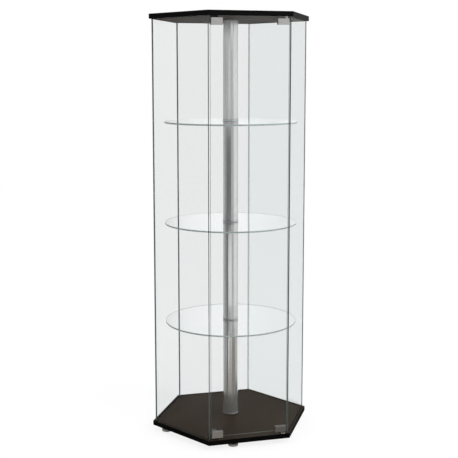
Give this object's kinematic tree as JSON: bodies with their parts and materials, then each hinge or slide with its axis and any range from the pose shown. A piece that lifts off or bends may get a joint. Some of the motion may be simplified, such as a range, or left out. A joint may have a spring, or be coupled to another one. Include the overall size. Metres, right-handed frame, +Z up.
{
  "type": "curio cabinet",
  "caption": "Tall hexagonal glass display cabinet with round glass shelves on a chrome centre pole, a hinged glass door, dark base and top panels and levelling feet.",
  "frame": {"origin": "on the floor under the pole, at the middle of the footprint", "axes": "+Z up the pole, -Y out of the door, +X to the right of someone facing the door"},
  "size_m": [0.65, 0.563, 1.66],
  "materials": {
    "panel": "satin black-brown lacquer on fibreboard",
    "channel": "matt black soft channel",
    "pane_glass": "clear float glass with ground edges",
    "corner_strip": "clear flexible plastic strip",
    "door_glass": "clear toughened glass with ground edges",
    "shelf_glass": "clear glass with a polished rim",
    "tube": "polished chrome plate",
    "collar": "chrome plate",
    "gasket": "clear soft vinyl washer",
    "rod_steel": "zinc plated steel",
    "cover": "matt black cap",
    "clip": "satin nickel plate",
    "pad": "thin black fibre pad",
    "pin": "turned steel",
    "bush": "white nylon",
    "latch_body": "matt black moulded plastic",
    "plunger": "dull steel with a magnet face",
    "foot": "dark hub over a pale grey pad"
  },
  "bodies": {
    "cabinet": {"base_panel": "panel", "top_panel": "panel", "base_channel": "channel", "top_channel": "channel", "pane_front_left": "pane_glass", "pane_back_left": "pane_glass", "pane_back": "pane_glass", "pane_back_right": "pane_glass", "pane_front_right": "pane_glass", "corner_strip_left": "corner_strip", "corner_strip_back_left": "corner_strip", "corner_strip_back_right": "corner_strip", "corner_strip_right": "corner_strip", "shelf_lower": "shelf_glass", "shelf_middle": "shelf_glass", "shelf_upper": "shelf_glass", "tube_1": "tube", "tube_2": "tube", "tube_3": "tube", "tube_4": "tube", "collar_base": "collar", "collar_top": "collar", "collar_under_lower": "collar", "collar_under_middle": "collar", "collar_under_upper": "collar", "collar_over_lower": "collar", "collar_over_middle": "collar", "collar_over_upper": "collar", "gasket_lower": "gasket", "gasket_middle": "gasket", "gasket_upper": "gasket", "tie_rod": "rod_steel", "rod_nut_lower": "rod_steel", "rod_nut_upper": "rod_steel", "rod_cover": "cover", "pivot_bush_lower": "bush", "pivot_bush_upper": "bush", "latch_body_lower": "latch_body", "latch_body_upper": "latch_body"},
    "door": {"door_glass": "door_glass", "hinge_clip_lower": "clip", "hinge_clip_upper": "clip", "hinge_pad_lower": "pad", "hinge_pad_upper": "pad", "pivot_pin_lower": "pin", "pivot_pin_upper": "pin", "strike_clip_lower": "clip", "strike_clip_upper": "clip", "strike_pad_lower": "pad", "strike_pad_upper": "pad"},
    "lower_plunger": {"latch_plunger_lower": "plunger"},
    "upper_plunger": {"latch_plunger_upper": "plunger"},
    "front_foot": {"foot_1": "foot"},
    "left_foot": {"foot_2": "foot"},
    "back_foot": {"foot_3": "foot"},
    "right_foot": {"foot_4": "foot"}
  },
  "joints": [
    {"name": "door_swing", "type": "hinge", "parent": "cabinet", "child": "door", "pos_m": [0.13842, -0.26996, 0.041], "axis": [0, 0, 1], "range_deg": [0, 120]},
    {"name": "lower_latch_press", "type": "slide", "parent": "cabinet", "child": "lower_plunger", "axis": [0, 1, 0], "range_m": [0, 0.003], "stiffness_N_per_m": 800, "springref_m": -0.003},
    {"name": "upper_latch_press", "type": "slide", "parent": "cabinet", "child": "upper_plunger", "axis": [0, 1, 0], "range_m": [0, 0.003], "stiffness_N_per_m": 800, "springref_m": -0.003},
    {"name": "front_foot_level", "type": "slide", "parent": "cabinet", "child": "front_foot", "axis": [0, 0, -1], "range_m": [0, 0.008]},
    {"name": "left_foot_level", "type": "slide", "parent": "cabinet", "child": "left_foot", "axis": [0, 0, -1], "range_m": [0, 0.008]},
    {"name": "back_foot_level", "type": "slide", "parent": "cabinet", "child": "back_foot", "axis": [0, 0, -1], "range_m": [0, 0.008]},
    {"name": "right_foot_level", "type": "slide", "parent": "cabinet", "child": "right_foot", "axis": [0, 0, -1], "range_m": [0, 0.008]}
  ]
}
